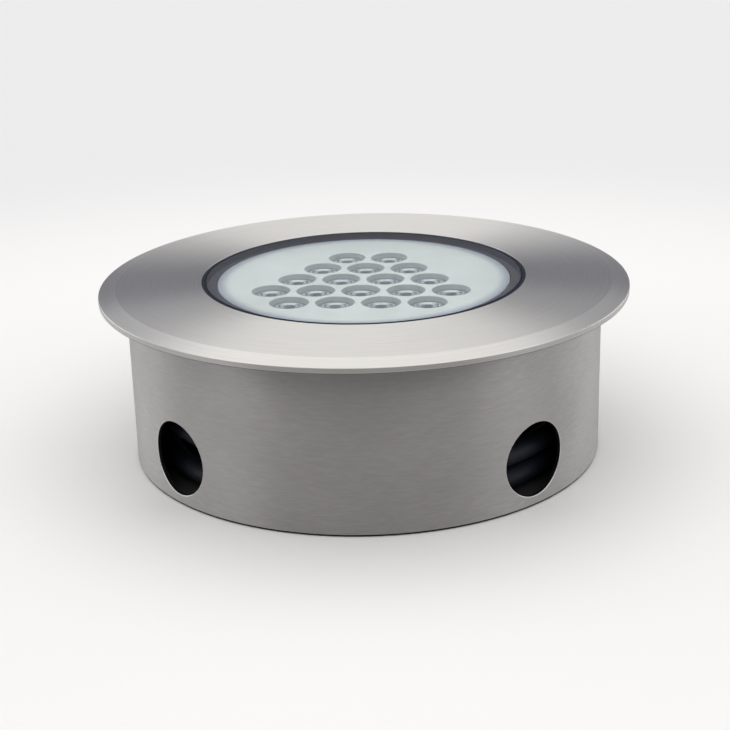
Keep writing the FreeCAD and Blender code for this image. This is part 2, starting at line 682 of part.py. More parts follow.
def gland_locknut():
    """Nut on the stem inside the can."""
    top = FLOOR_TOP + LOCKNUT_HEIGHT
    nut = hexagon(GLAND_COLLAR_FLATS, FLOOR_TOP, top)
    return at_gland(nut.cut(rod(GLAND_THREAD_RADIUS + FIT, FLOOR_TOP, top)))


def gland_nut():
    """Gland nut: hexagon, barrel and a cone down to the cable."""
    flat_end = GLAND_NUT_X + GLAND_NUT_HEX
    barrel_end = flat_end + GLAND_NUT_BARREL
    barrel = GLAND_NUT_FLATS / 2 - EDGE_BREAK
    body = hexagon(GLAND_NUT_FLATS, GLAND_NUT_X, flat_end).fuse(turned([
        (0, flat_end), (barrel, flat_end), (barrel, barrel_end),
        (GLAND_NUT_MOUTH, GLAND_REACH), (0, GLAND_REACH),
    ]))
    body = body.cut([
        rod(GLAND_THREAD_RADIUS + FIT, GLAND_NUT_X, GLAND_REACH - GLAND_NUT_WALL),
        rod(CABLE_RADIUS + CABLE_PLAY, GLAND_NUT_X, GLAND_REACH),
    ])
    return at_gland(lying(body))


def gland_seal():
    """Rubber bush that the gland nut presses onto the cable."""
    start = GLAND_BODY_LENGTH + GLAND_NOSE_LENGTH - GLAND_MOUTH_DEPTH
    end = GLAND_REACH - GLAND_NUT_WALL
    return at_gland(lying(ring(GLAND_MOUTH_RADIUS - FIT, CABLE_RADIUS + FIT, start, end)))


def cable_entry():
    """The cable inside the gland, from the elbow's corner to the nut's face."""
    start = WIRE_SPREAD * math.sqrt(2) + WIRE_RADIUS + FIT
    return at_gland(lying(rod(CABLE_RADIUS, start, GLAND_REACH)))


def bend_station(angle):
    """Point and heading on the bend from the gland down to the turns, in the cable's plan."""
    falling = JOIN_ANGLE - math.radians(LEAD_LEVEL)
    share = min(angle / falling, 1)
    drop = COIL_Z - GLAND_Z
    z = GLAND_Z + drop * share * share * (3 - 2 * share)
    slope = drop * 6 * share * (1 - share) / (falling * LEAD_BEND)
    x = BEND_CENTRE_X + LEAD_BEND * math.cos(angle)
    y = BEND_CENTRE_Y + LEAD_BEND * math.sin(angle)
    return V(x, y, z), V(-math.sin(angle), math.cos(angle), slope).normalize()


def climb(degrees, start, end, rise):
    """Height gained on a smooth climb, at an angle along the turns."""
    share = max(0, min(1, (degrees - start) / (end - start)))
    return rise * share * share * (3 - 2 * share)


def turn_station(degrees):
    """Point and heading on the turns, at an angle past their beginning, in the cable's plan.

    The turns are level wherever two arcs meet.
    """
    place = JOIN_ANGLE + math.radians(degrees)
    crossing = climb(degrees, CLIMB_START, CLIMB_END, COIL_PITCH)
    lift = climb(degrees, LIFT_START, LIFT_END, LIFT_RISE)
    z = COIL_Z + crossing + lift
    point = V(COIL_RADIUS * math.cos(place), COIL_RADIUS * math.sin(place), z)
    return point, V(-math.sin(place), math.cos(place), 0)


def turn_angles():
    """Angles along the turns where arcs meet, with the climbs' ends among them."""
    ends = [0, CLIMB_START, CLIMB_END, LIFT_START, LIFT_END, 360 * COIL_TURNS]
    angles = [0]
    for first, last in zip(ends, ends[1:]):
        steps = math.ceil((last - first) / QUARTER_TURN)
        angles += [first + (last - first) * k / steps for k in range(1, steps + 1)]
    return angles


def tangent_arc(start, heading, end):
    """Arc from a point and a heading to another point."""
    chord = end - start
    along = V(chord).normalize()
    lean = math.acos(max(-1, min(1, heading.dot(along))))
    aside = (heading - along * heading.dot(along)).normalize()
    middle = start + chord / 2 + aside * (chord.Length / 2 * math.tan(lean / 2))
    return Part.Arc(start, middle, end).toShape()


def biarc(first, last):
    """Two arcs that join two stations and meet with one heading."""
    start, leaving = first
    end, arriving = last
    gap = end - start
    both = leaving + arriving
    bend = 2 * (1 - leaving.dot(arriving))
    reach = (math.sqrt(gap.dot(both) ** 2 + bend * gap.dot(gap)) - gap.dot(both)) / bend
    joint = (start + end + (leaving - arriving) * reach) / 2
    return [tangent_arc(start, leaving, joint), tangent_arc(end, arriving * -1, joint)]


def cable_path():
    """Edges of the cable's middle line: straight out of the gland, bend, turns and a straight end."""
    outlet = V(GLAND_OFFSET, GLAND_REACH - GLAND_SETBACK, GLAND_Z)
    falling = JOIN_ANGLE - math.radians(LEAD_LEVEL)
    stations = [bend_station(0), bend_station(falling / 2), bend_station(falling)]
    stations += [turn_station(degrees) for degrees in turn_angles()]
    edges = [Part.makeLine(outlet, stations[0][0])]
    for first, last in zip(stations, stations[1:]):
        edges += biarc(first, last)
    end, heading = stations[-1]
    edges.append(Part.makeLine(end, end + heading * CABLE_DIAMETER))
    return Part.Wire(Part.__sortEdges__(edges))


def report_cable(path, solid):
    """Prints the cable's length, volume, tightest bend and least gap to itself."""
    step = CABLE_RADIUS
    points = path.discretize(Distance=step)
    near = math.ceil(math.pi * CABLE_DIAMETER / step)
    pairs = ((i, j) for i in range(len(points)) for j in range(i + near, len(points)))
    gap = min(points[i].distanceToPoint(points[j]) for i, j in pairs) - CABLE_DIAMETER
    radii = [edge.Curve.Radius for edge in path.Edges if isinstance(edge.Curve, Part.Circle)]
    section = math.pi * CABLE_RADIUS ** 2
    print("cable length", round(path.Length, 1), "tightest radius", round(min(radii), 1))
    print("cable's least gap to itself", round(gap, 2))
    print("cable volume over section times length", round(solid.Volume / section / path.Length, 5))


def cable_coil():
    """The free cable as one unbroken tube."""
    path = cable_path()
    start = path.Edges[0].firstVertex().Point
    section = Part.Wire(Part.Circle(start, V(0, 1, 0), CABLE_RADIUS).toShape())
    tube = path.makePipeShell([section], True, False)
    report_cable(path, tube)
    return in_cable_plan(tube)


def core_rods(radius, start, length):
    """The cable's four cores, as rods that go on from the cable's end."""
    end, heading = turn_station(360 * COIL_TURNS)
    side = heading.cross(UP).normalize()
    above = side.cross(heading)
    cores = []
    for across in (-CORE_SPREAD, CORE_SPREAD):
        for rise in (-CORE_SPREAD, CORE_SPREAD):
            foot = end + heading * (CABLE_DIAMETER + start) + side * across + above * rise
            cores.append(in_cable_plan(Part.makeCylinder(radius, length, foot, heading)))
    return cores


def cable_tie(degrees):
    """Flat band round the turns that pass one place, with its square head inside the coil."""
    first = (degrees - COIL_START) % 360
    count = math.ceil(COIL_TURNS - first / 360)
    low = turn_station(first)[0].z
    high = turn_station(first + 360 * (count - 1))[0].z
    inner = CABLE_RADIUS + TIE_GAP
    outer = inner + TIE_THICKNESS

    def stadium(radius):
        ends = [Part.makeCylinder(radius, TIE_WIDTH, V(COIL_RADIUS, 0, z), V(0, 1, 0)) for z in (low, high)]
        side = Part.makeBox(2 * radius, TIE_WIDTH, high - low, V(COIL_RADIUS - radius, 0, low))
        return side.fuse(ends).removeSplitter()

    inset = (TIE_HEAD - TIE_WIDTH) / 2
    corner = V(COIL_RADIUS - inner - TIE_HEAD, -inset, (low + high - TIE_HEAD) / 2)
    head = Part.makeBox(TIE_HEAD, TIE_HEAD, TIE_HEAD, corner)
    band = stadium(outer).fuse(head).cut(stadium(inner))
    band.translate(V(0, -TIE_WIDTH / 2, 0))
    return about_z(band, degrees)


def nodes():
    """Every piece by its name, with like pieces of one kind grouped."""
    group = Part.makeCompound
    pieces = {
        "sleeve": sleeve(),
        "base_plate": base_plate(),
        "face_ring": face_ring(),
        "glass": glass(),
        "glass_seal": glass_seal(),
        "lens_plate": lens_plate(),
        "led_emitters": group([emitter(centre) for centre in CENTRES]),
        "led_board": led_board(),
        "led_board_screws": group([
            screw(place, LED_TOP, LED_BOARD_THICKNESS + SCREW_BITE_M3, M3, False)
            for place in LED_SCREW_PLACES
        ]),
        "heat_spreader": heat_spreader(),
        "spreader_screws": group([
            screw(place, SPREADER_TOP, SPREADER_THICKNESS + SCREW_BITE_M3, M3, False)
            for place in spreader_screw_places()
        ]),
        "lamp_can": lamp_can(),
        "can_seal": can_seal(),
        "clamp_screws": group(rim_screws(clamp_angles(), 0)),
        "spring_screws": group(rim_screws(spring_angles(), SPRING_THICKNESS)),
        "driver_board": driver_board(),
        "driver_standoffs": group([standoff(place) for place in standoff_places()]),
        "driver_screws": group([
            screw(place, DRIVER_TOP, DRIVER_BOARD_THICKNESS + SCREW_BITE_M3, M3, False)
            for place in standoff_places()
        ]),
        "driver_inductor": driver_inductor(),
        "driver_capacitors": group(driver_capacitors()),
        "driver_chips": group(driver_chips()),
        "supply_wires": group(supply_wires()),
        "led_wires": group(led_wires()),
        "gland_elbow": gland_elbow(),
        "gland_washer": gland_washer(),
        "gland_locknut": gland_locknut(),
        "gland_seal": gland_seal(),
        "gland_nut": gland_nut(),
        "cable_entry": cable_entry(),
        "cable_coil": cable_coil(),
        "cable_cores": group(core_rods(CORE_RADIUS, 0, CORE_LENGTH)),
        "core_tips": group(core_rods(CORE_TIP_RADIUS, CORE_LENGTH, CORE_TIP_LENGTH)),
        "cable_ties": group([cable_tie(degrees) for degrees in TIE_ANGLES]),
    }
    for number, centre in enumerate(CENTRES, 1):
        pieces[f"lens_{number:02d}"] = lens(centre)
    for number, angle in enumerate(spring_angles(), 1):
        pieces[f"spring_{number}"] = spring(angle)
    return pieces


os.makedirs("parts", exist_ok=True)
for name, shape in nodes().items():
    shape.exportStep(f"parts/{name}.step")
print("overall", round(2 * FLANGE_RADIUS, 2), "wide and", round(FACE_TOP, 2), "high")
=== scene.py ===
import json
import math

import bpy
from mathutils import Matrix, Vector


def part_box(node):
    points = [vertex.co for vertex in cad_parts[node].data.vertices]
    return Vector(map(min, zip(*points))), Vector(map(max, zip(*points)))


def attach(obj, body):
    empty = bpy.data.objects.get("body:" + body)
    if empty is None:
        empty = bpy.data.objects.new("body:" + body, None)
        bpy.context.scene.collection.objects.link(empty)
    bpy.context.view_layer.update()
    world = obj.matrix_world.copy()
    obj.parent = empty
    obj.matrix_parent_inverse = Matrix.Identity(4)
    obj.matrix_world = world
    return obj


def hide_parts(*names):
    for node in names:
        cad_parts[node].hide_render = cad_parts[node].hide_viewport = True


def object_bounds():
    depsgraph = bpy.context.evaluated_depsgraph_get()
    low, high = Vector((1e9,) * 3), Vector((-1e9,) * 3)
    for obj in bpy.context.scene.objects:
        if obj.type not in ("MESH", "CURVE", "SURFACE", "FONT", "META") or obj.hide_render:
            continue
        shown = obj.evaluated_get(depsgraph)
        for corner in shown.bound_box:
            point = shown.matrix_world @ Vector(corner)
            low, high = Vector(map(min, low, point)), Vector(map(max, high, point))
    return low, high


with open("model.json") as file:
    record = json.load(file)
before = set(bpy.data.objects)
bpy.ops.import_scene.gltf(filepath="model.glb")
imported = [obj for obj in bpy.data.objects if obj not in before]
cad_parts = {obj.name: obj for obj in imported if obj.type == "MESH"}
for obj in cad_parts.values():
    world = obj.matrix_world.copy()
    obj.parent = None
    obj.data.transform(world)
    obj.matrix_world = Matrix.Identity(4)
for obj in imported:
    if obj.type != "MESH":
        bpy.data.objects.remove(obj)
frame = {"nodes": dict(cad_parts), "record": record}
cad_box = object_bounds()

# Recessed pool light: finishes, rounded shapes, the cable, the light and the camera.
# Metres, in the frame's own axes: +Z up, the origin at the centre of the sleeve's foot.

MM = 0.001

# Camera, round a point near the light's axis
CAMERA_AZIMUTH = 49.2
CAMERA_ELEVATION = 19.815
CAMERA_ROLL = -1.568
CAMERA_DISTANCE = 548.165 * MM
CAMERA_TARGET_HEIGHT = 27.07 * MM
CAMERA_TARGET_SIDE = -0.317 * MM
CAMERA_LENS = 77.38
CAMERA_SENSOR = 36.0

# Studio: the sky's light by the sine of its elevation, and lighter and darker patches in it
SKY_LEAN = 8.0                 # degrees that the whole sky leans to the front
SKY_STOPS = (
    (0.0, (0.225, 0.225, 0.25)),
    (0.40, (0.25, 0.25, 0.275)),
    (0.61, (1.19, 1.18, 1.16)),
    (0.77, (1.84, 1.82, 1.78)),
    (0.89, (1.60, 1.58, 1.55)),
    (1.0, (1.22, 1.21, 1.19)),
)
# Each patch has four angles in degrees and what it adds to the light.
# The angles: round from straight behind, up, as far as it is full, and as far as it reaches.
SKY_PATCHES = (
    (-58.0, -5.0, 17.0, 32.0, 2.1),
    (58.0, -5.0, 17.0, 32.0, 2.1),
    (-104.0, -5.0, 20.0, 36.0, 1.6),
    (104.0, -5.0, 20.0, 36.0, 1.7),
    (40.0, 42.0, 5.0, 36.0, 0.12),
    (-40.0, 42.0, 5.0, 36.0, -0.06),
    (180.0, 34.0, 8.0, 40.0, -0.36),
    (-90.0, 52.0, 5.0, 38.0, -0.5),
    (90.0, 52.0, 5.0, 38.0, -0.5),
    (180.0, 10.0, 35.0, 65.0, -0.18),
)
SKY_LEAST = 0.04               # no part of the sky is darker
FLOOR_SIZE = 12.0
FLOOR_DROP = 0.02 * MM         # below the foot, so that their faces don't meet
# Painted light: the floor is paler near the object, where the object shades it, and darker far away
FLOOR_NEAR = (0.925, 0.925, 0.93, 1.0)
FLOOR_FAR = (0.82, 0.82, 0.835, 1.0)
FLOOR_NEAR_REACH = 0.22        # from the middle, to where the near colour begins to change
FLOOR_FAR_REACH = 0.48

# Sizes that pieces share
SEGMENTS = 256                 # round a turned piece
ARC_STEPS = 4                  # in a rounded edge
SOFT_EDGE = 0.2 * MM           # usual rounding of an edge
NEAR_AXIS = 0.0001 * MM        # a point closer to the axis is on it
WELD_DIGITS = 8                # decimals of a metre in which welded points agree

# Surface detail, with the scales of noise in cells to a metre
NOISE_SPAN = (0.3, 0.7)        # where most of a noise lies
PRODUCT_SPAN = (0.12, 0.4)     # where most of the product of two noises lies
STREAK_DETAIL = 4.0
STREAK_ROUGHNESS = 0.65        # of the noise that draws streaks
STREAK_RELIEF = 0.06
METAL_CLOUDS = 30.0
CAST_RELIEF = 0.08
MOULDED_CLOUDS = 45.0
MIRROR_HAZE = 400.0
MIRROR_SPREAD = 0.2            # share of the roughness, to each side
CLEAR_HAZE = 60.0
CLEAR_SPREAD = 0.4
GLOSS_SPREAD = 0.05            # in roughness, to each side
CAST_GLOSS_SPREAD = 0.06
FINE_RELIEF = 0.1 * MM
BRUSH_TURN = 0.25              # of a whole turn, so that gloss spreads across the streaks
# Streaks in metal, by their number round a radian and in a metre across
TURNED_GRAIN = (3.0, 2200.0)       # long lines from a lathe
BRUSHED_GRAIN = (16.0, 1900.0)     # short scratches from a belt
# Copper tracks: cells to a metre, where a cell's track begins and is whole, and their relief
TRACK_CELLS = 260.0
TRACK_SPAN = (0.38, 0.46)
TRACK_STRENGTH = 0.15
TRACK_RELIEF = 0.05 * MM
BOARD_ROUGHNESS = 0.38

# Face ring
CROWN_BEVEL_WIDTH = 6.0 * MM
CROWN_DROP = 0.5 * MM
RIM_THICKNESS = 1.95 * MM
RIM_EDGE = 0.3 * MM            # rounding of the rim
POCKET_RADIUS = 55.2 * MM
LEDGE_RADIUS = 50.2 * MM
HUB_RADIUS = 66.0 * MM
REGISTER_DEPTH = 0.5 * MM
REGISTER_PLAY = 0.3 * MM
LINE_RADII = (85.2 * MM, 86.0 * MM)    # fine turned lines in the bevel
LINE_WIDTH = 0.4 * MM
LINE_DEPTH = 0.03 * MM
# Painted light and shade in the tone, and roughness, by where the surface faces: 0 for down, 0.5 for level
# with the horizon, 1 for up. The rim and undersides are painted darker as shade.
FACE_PAINTED_LIGHT = ((0.42, 0.2), (0.49, 0.52), (0.6, 0.55), (0.68, 0.75), (0.92, 0.95), (0.955, 1.02), (1.0, 1.0))
FACE_GLOSS = ((0.6, 0.45), (0.68, 0.36), (0.92, 0.36), (0.955, 0.41))

# Sleeve
SLEEVE_WALL = 1.5 * MM
SEAT_CHAMFER = 0.6 * MM
HOLE_RADIUS = 12.4 * MM
HOLE_HEIGHT = 16.0 * MM
HOLE_COUNT = 4
HOLE_EDGE = 0.25 * MM
FOOT_EDGE = 0.8 * MM
HALF_SHARE = math.pi / HOLE_COUNT      # half of the angle of one hole's share of the wall
HOLE_POINTS = 128              # round a hole, and round its share
SIDE_STEPS = 17                # along a seam between two shares
TOP_STEPS = 40                 # along the upper edge of a share
BOTTOM_STEPS = HOLE_POINTS - 2 * SIDE_STEPS - TOP_STEPS
WALL_RINGS = 16                # between a hole and its share's border
RING_CROWDING = 0.55           # 0 for even rings, more for rings that crowd round the hole
# The dark finish goes on the walls of the holes, and as painted contact shadow on the foot's rounded edge.
SLEEVE_FINISHES = ("sleeve_steel", "dark_edge_and_shadow", "smoothed_edge")
WALL_PAINT, DARK_EDGE_PAINT, SMOOTHED_PAINT = range(len(SLEEVE_FINISHES))

# Glass, its seal and the plate under it
GLASS_ARRIS = 0.4 * MM
SEAL_PLAY = 0.1 * MM           # between the glass and the seal's lip
SEAL_REST = 0.02 * MM          # between the glass and the seal's leg, so that their faces don't meet
SHADE_START = 45.0 * MM        # where the painted shade on the plate's border begins
SHADE_END = 50.0 * MM
PLATE_GRAIN = 1600.0
PLATE_RELIEF = 0.04
PLATE_SPAN = (0.65, 0.9)       # from the painted shade on the plate's walls to its face, by where the surface faces

# Lenses, above their feet
LENS_SEGMENTS = 64
LENS_CAVITY_RADIUS = 2.9 * MM
LENS_CAVITY_WALL = 2.2 * MM
LENS_CAVITY_TOP = 3.0 * MM
LENS_FOOT_RADIUS = 3.9 * MM
LENS_RIM = 1.6 * MM
LENS_BOWL_RADIUS = 4.8 * MM
LENS_NECK_RADIUS = 4.45 * MM
LENS_NECK_DEPTH = 0.62 * MM
LENS_BOWL_FLOOR = 3.85 * MM
LENS_BOWL_DEPTH = 2.4 * MM
LENS_COUNT = 18

# Cable: out of the gland, down in one bend, then round inside the sleeve, a level up at each climb
CABLE_DIAMETER = 7.4 * MM
GLAND_OFFSET = 26.0 * MM
GLAND_OUTLET = 12.0 * MM       # along the outlet, from the middle
GLAND_HEIGHT = 13.47 * MM
LEAD_BEND = 42.0 * MM
LEAD_LEVEL = math.radians(45)  # the last stretch of the bend, which is level
COIL_RADIUS = 70.0 * MM
COIL_HEIGHT = 6.8 * MM
COIL_TURNS = 1.85
CLIMBS = ((285.0, 350.0, 8.1 * MM), (550.0, 640.0, 5.3 * MM))    # degrees from, to, and the rise
COIL_START = math.radians(-20)
TURN_POINTS = 24               # of the cable's spline, in each turn
BEND_POINTS = 8
CABLE_STEPS = 4                # between two points of the spline
CABLE_ROUNDING = 8             # bevel steps of the round section


def add_node(tree, kind, inputs=None, **settings):
    """New shader node. An input given as a socket is linked, and any other value is set."""
    node = tree.nodes.new("ShaderNode" + kind)
    for name, value in settings.items():
        setattr(node, name, value)
    for name, value in (inputs or {}).items():
        if isinstance(value, bpy.types.NodeSocket):
            tree.links.new(value, node.inputs[name])
        else:
            node.inputs[name].default_value = value
    return node


def surface(name, values):
    """New material with values on its Principled shader. Returns the material, its tree and the shader."""
    material = bpy.data.materials.new(name)
    material.use_nodes = True
    tree = material.node_tree
    shader = tree.nodes["Principled BSDF"]
    for socket, value in values.items():
        shader.inputs[socket].default_value = value
    return material, tree, shader


def noise(tree, vector, scale, detail=3.0, roughness=0.55):
    """Noise from 0 to 1."""
    values = {"Vector": vector, "Scale": scale, "Detail": detail, "Roughness": roughness}
    return add_node(tree, "TexNoise", values).outputs["Fac"]


def spread_to(tree, value, low, high, span=NOISE_SPAN):
    """Number stretched from its span to the range from low to high."""
    values = {"Value": value, "From Min": span[0], "From Max": span[1], "To Min": low, "To Max": high}
    return add_node(tree, "MapRange", values).outputs["Result"]


def eased(tree, value, start, end, top=1.0):
    """Number that eases from 0 to the top as a value goes from start to end."""
    values = {"Value": value, "From Min": start, "From Max": end, "To Max": top}
    return add_node(tree, "MapRange", values, interpolation_type="SMOOTHSTEP").outputs["Result"]


def product(tree, first, second):
    """Product of two numbers."""
    return add_node(tree, "Math", {0: first, 1: second}, operation="MULTIPLY").outputs[0]


def join_vectors(tree, operation, first, second):
    """Vector or colour that an operation makes from two."""
    return add_node(tree, "VectorMath", {0: first, 1: second}, operation=operation).outputs["Vector"]


def dot_product(tree, first, second):
    """Dot product of two vectors."""
    return add_node(tree, "VectorMath", {0: first, 1: second}, operation="DOT_PRODUCT").outputs["Value"]


def vector_length(tree, vector):
    """Length of a vector."""
    return add_node(tree, "VectorMath", {0: vector}, operation="LENGTH").outputs["Value"]


def between(tree, factor, first, second):
    """Colour between two colours."""
    return add_node(tree, "Mix", {0: factor, 6: first, 7: second}, data_type="RGBA").outputs[2]


def graded(tree, value, stops, interpolation="LINEAR"):
    """Colour that runs through stops of (value, colour)."""
    ramp = add_node(tree, "ValToRGB", {"Fac": value})
    ramp.color_ramp.interpolation = interpolation
    elements = ramp.color_ramp.elements
    while len(elements) < len(stops):
        elements.new(1.0)
    for element, (place, colour) in zip(elements, stops):
        element.position = place
        element.color = (*colour, 1.0)
    return ramp.outputs["Color"]


def grey_graded(tree, value, stops):
    """Grey that runs through stops of (value, grey)."""
    return graded(tree, value, [(place, (grey, grey, grey)) for place, grey in stops])


def object_place(tree):
    """The point on the surface, in the object's own axes."""
    return add_node(tree, "TexCoord").outputs["Object"]


def axis_place(tree):
    """The point on the surface, as a level vector from the Z axis and a height."""
    parts = add_node(tree, "SeparateXYZ", {0: object_place(tree)}).outputs
    flat = add_node(tree, "CombineXYZ", {"X": parts["X"], "Y": parts["Y"]}).outputs[0]
    return flat, parts["Z"]


def turned_place(tree, along, across):
    """Coordinates that change slowly round the Z axis and fast across, so that noise draws turned lines."""
    flat, height = axis_place(tree)
    outward = add_node(tree, "VectorMath", {0: flat}, operation="NORMALIZE").outputs[0]
    slow = add_node(tree, "VectorMath", {0: outward, "Scale": along}, operation="SCALE").outputs[0]
    radius = vector_length(tree, flat)
    depth = add_node(tree, "Math", {0: radius, 1: height}, operation="SUBTRACT").outputs[0]
    lift = add_node(tree, "CombineXYZ", {"Z": product(tree, depth, across)}).outputs[0]
    return join_vectors(tree, "ADD", slow, lift)


def upward(tree):
    """Where the surface faces: 0 for down, 0.5 for level with the horizon, 1 for up."""
    height = add_node(tree, "SeparateXYZ", {0: add_node(tree, "TexCoord").outputs["Normal"]}).outputs["Z"]
    return spread_to(tree, height, 0.0, 1.0, (-1.0, 1.0))


def shade(colour, factor):
    """Colour made darker or lighter."""
    return tuple(channel * factor for channel in colour[:3]) + (1.0,)


def vary_colour(tree, shader, grains, colour, darkest, lightest):
    """Base colour that follows a noise, between two shades of a colour."""
    tint = between(tree, spread_to(tree, grains, 0.0, 1.0), shade(colour, darkest), shade(colour, lightest))
    tree.links.new(tint, shader.inputs["Base Color"])


def vary_gloss(tree, shader, grains, roughness, spread, span=NOISE_SPAN):
    """Roughness that follows a noise, by a spread to each side."""
    gloss = spread_to(tree, grains, roughness - spread, roughness + spread, span)
    tree.links.new(gloss, shader.inputs["Roughness"])


def add_bump(tree, shader, height, strength, depth=FINE_RELIEF):
    """Fine relief from a height."""
    bump = add_node(tree, "Bump", {"Height": height, "Strength": strength, "Distance": depth})
    tree.links.new(bump.outputs["Normal"], shader.inputs["Normal"])


def base_colour(shader):
    """The socket that a shader's colour comes from."""
    return shader.inputs["Base Color"].links[0].from_socket


def streaked_metal(name, colour, anisotropy, contrast, grain):
    """Metal brushed round the Z axis, with fine streaks in its colour and relief.

    Returns the material, its tree, the shader and the streaks.
    """
    material, tree, shader = surface(name, {
        "Metallic": 1.0, "Anisotropic": anisotropy, "Anisotropic Rotation": BRUSH_TURN,
    })
    place = turned_place(tree, *grain)
    streaks = noise(tree, place, scale=1.0, detail=STREAK_DETAIL, roughness=STREAK_ROUGHNESS)
    vary_colour(tree, shader, streaks, colour, 1 - contrast, 1 + contrast)
    add_bump(tree, shader, streaks, STREAK_RELIEF)
    tangent = add_node(tree, "Tangent", direction_type="RADIAL", axis="Z")
    tree.links.new(tangent.outputs[0], shader.inputs["Tangent"])
    return material, tree, shader, streaks


def brushed_metal(name, colour, roughness, anisotropy, contrast=0.1, grain=TURNED_GRAIN):
    """Streaked metal, with streaks and clouds in its gloss."""
    material, tree, shader, streaks = streaked_metal(name, colour, anisotropy, contrast, grain)
    clouds = noise(tree, object_place(tree), METAL_CLOUDS, detail=2.0)
    vary_gloss(tree, shader, product(tree, streaks, clouds), roughness, GLOSS_SPREAD, PRODUCT_SPAN)
    return material


def turned_face(name, colour, anisotropy, contrast):
    """Streaked metal with painted light and shade: its tone and gloss follow where the surface faces, darker
    on the rim and undersides.
    """
    material, tree, shader, _ = streaked_metal(name, colour, anisotropy, contrast, TURNED_GRAIN)
    facing = upward(tree)
    # painted light and shade: the tone follows where the surface faces
    tint = join_vectors(tree, "MULTIPLY", base_colour(shader), grey_graded(tree, facing, FACE_PAINTED_LIGHT))
    tree.links.new(tint, shader.inputs["Base Color"])
    tree.links.new(grey_graded(tree, facing, FACE_GLOSS), shader.inputs["Roughness"])
    return material


def mirror(name, colour, roughness):
    """Smooth bright surface with a trace of haze."""
    material, tree, shader = surface(name, {"Base Color": colour, "Metallic": 1.0})
    haze = noise(tree, object_place(tree), MIRROR_HAZE)
    vary_gloss(tree, shader, haze, roughness, roughness * MIRROR_SPREAD)
    return material


def cast_metal(name, colour, roughness, grain=900.0):
    """Metal with a fine even grain."""
    material, tree, shader = surface(name, {"Metallic": 1.0})
    grains = noise(tree, object_place(tree), grain)
    vary_colour(tree, shader, grains, colour, darkest=0.9, lightest=1.06)
    vary_gloss(tree, shader, grains, roughness, CAST_GLOSS_SPREAD)
    add_bump(tree, shader, grains, CAST_RELIEF)
    return material


def moulded(name, colour, roughness, grain=1400.0, relief=0.08, shine=0.5):
    """Moulded plastic or rubber, with a fine grain and faint clouding."""
    material, tree, shader = surface(name, {"Specular IOR Level": shine})
    place = object_place(tree)
    grains = noise(tree, place, grain, detail=2.0)
    vary_colour(tree, shader, noise(tree, place, MOULDED_CLOUDS), colour, darkest=0.94, lightest=1.05)
    vary_gloss(tree, shader, grains, roughness, GLOSS_SPREAD)
    add_bump(tree, shader, grains, relief)
    return material


def faced_plate(name, colour, wall_painted_shade, border_painted_shade, roughness):
    """Moulded plate with a pale face, painted shade on the walls of its holes, and painted shade on its
    border.
    """
    material = moulded(name, colour, roughness, PLATE_GRAIN, PLATE_RELIEF)
    tree = material.node_tree
    shader = tree.nodes["Principled BSDF"]
    flat, _ = axis_place(tree)
    # painted shade on the plate's border, darker and bluer towards its edge
    border = eased(tree, vector_length(tree, flat), SHADE_START, SHADE_END)
    shading = between(tree, border, (1.0, 1.0, 1.0, 1.0), border_painted_shade)
    face = join_vectors(tree, "MULTIPLY", base_colour(shader), shading)
    # painted shade: the walls of the holes are painted grey
    level = spread_to(tree, upward(tree), 0.0, 1.0, PLATE_SPAN)
    tree.links.new(between(tree, level, wall_painted_shade, face), shader.inputs["Base Color"])
    return material


def clear(name, colour, index, roughness):
    """Clear glass, with a trace of haze, that lets light through to what is under it."""
    material, tree, shader = surface(name, {
        "Base Color": colour, "IOR": index, "Transmission Weight": 1.0,
    })
    haze = noise(tree, object_place(tree), CLEAR_HAZE)
    vary_gloss(tree, shader, haze, roughness, roughness * CLEAR_SPREAD)
    passing = add_node(tree, "BsdfTransparent", {"Color": colour})
    shadow = add_node(tree, "LightPath").outputs["Is Shadow Ray"]
    both = add_node(tree, "MixShader", {0: shadow, 1: shader.outputs[0], 2: passing.outputs[0]})
    tree.links.new(both.outputs[0], tree.nodes["Material Output"].inputs["Surface"])
    return material


def circuit_board(name, colour, track_colour):
    """Board with a solder mask over square copper tracks."""
    material, tree, shader = surface(name, {"Roughness": BOARD_ROUGHNESS})
    values = {"Vector": object_place(tree), "Scale": TRACK_CELLS}
    cells = add_node(tree, "TexVoronoi", values, distance="CHEBYCHEV")
    tracks = spread_to(tree, cells.outputs["Distance"], 0.0, 1.0, TRACK_SPAN)
    tree.links.new(between(tree, tracks, colour, track_colour), shader.inputs["Base Color"])
    add_bump(tree, shader, tracks, TRACK_STRENGTH, TRACK_RELIEF)
    return material


